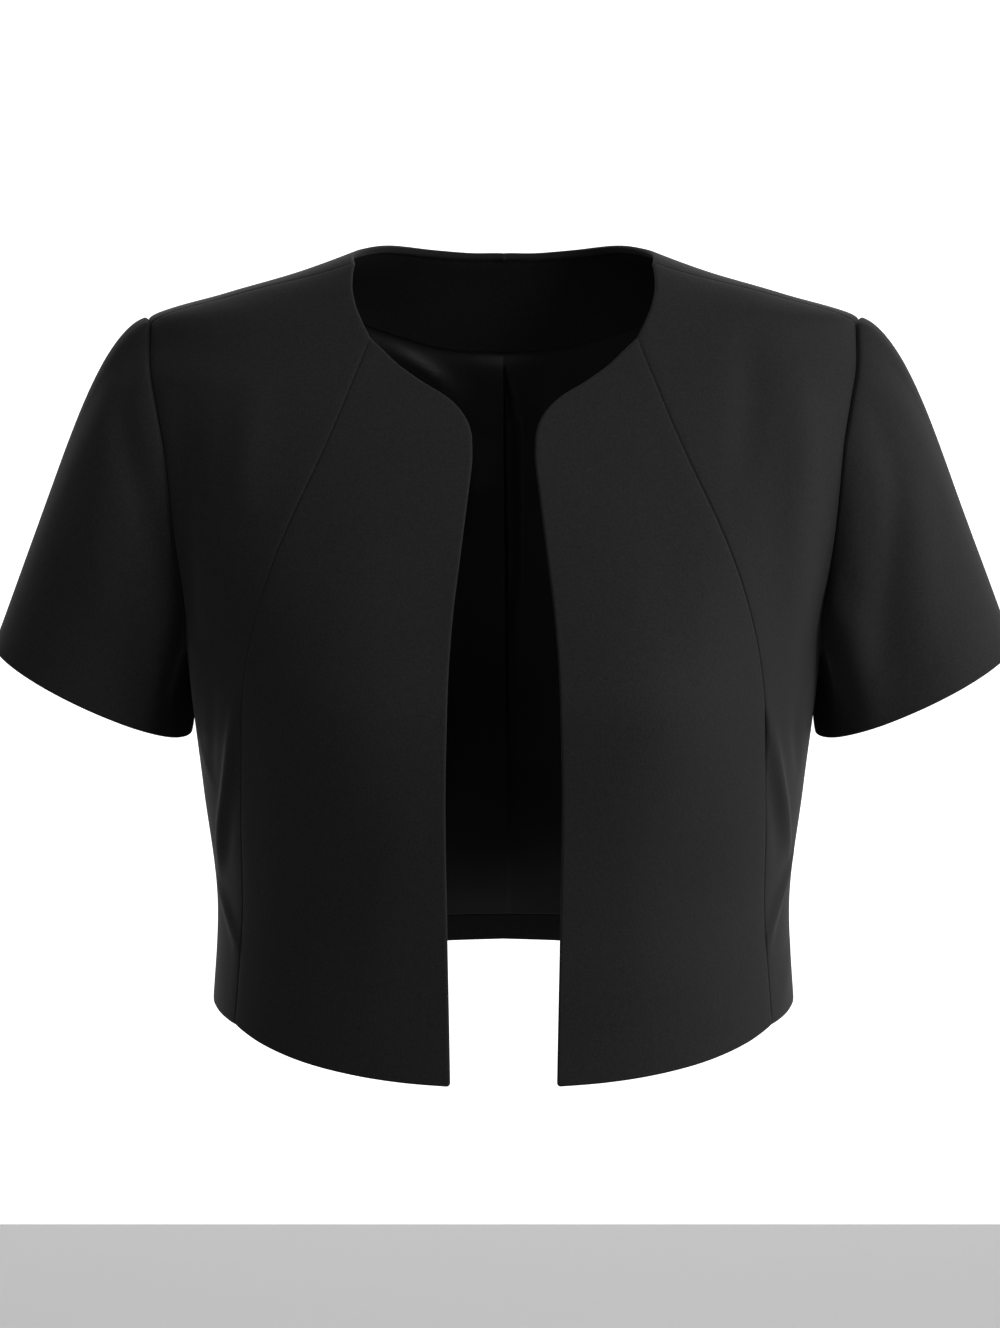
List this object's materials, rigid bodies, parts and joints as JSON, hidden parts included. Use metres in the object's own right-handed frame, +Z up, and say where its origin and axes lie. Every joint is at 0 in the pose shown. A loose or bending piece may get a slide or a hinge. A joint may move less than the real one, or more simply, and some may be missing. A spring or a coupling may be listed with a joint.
{
  "type": "bolero jacket",
  "caption": "Collarless cropped open-front bolero with short set-in sleeves and princess seams, hollow as it is worn, with a lined back.",
  "frame": {"origin": "the middle of the neck hole in plan, 20 mm below the top of the back neck, where the neck and shoulders of the wearer hold the jacket", "axes": "+X to the wearer's left, -Y to the wearer's front, +Z up"},
  "size_m": [0.5538, 0.2312, 0.4335],
  "materials": {
    "black_cloth": "matte, finely woven",
    "facing_cloth": "matte",
    "lining": "satin"
  },
  "bodies": {
    "root": {"front_centre_left": "black_cloth", "front_centre_right": "black_cloth", "front_side_left": "black_cloth", "front_side_right": "black_cloth", "back_left": "black_cloth", "back_right": "black_cloth", "sleeve_left": "black_cloth", "sleeve_right": "black_cloth", "back_neck_facing": "facing_cloth", "back_lining": "lining", "back_hem_band": "black_cloth"}
  },
  "joints": []
}
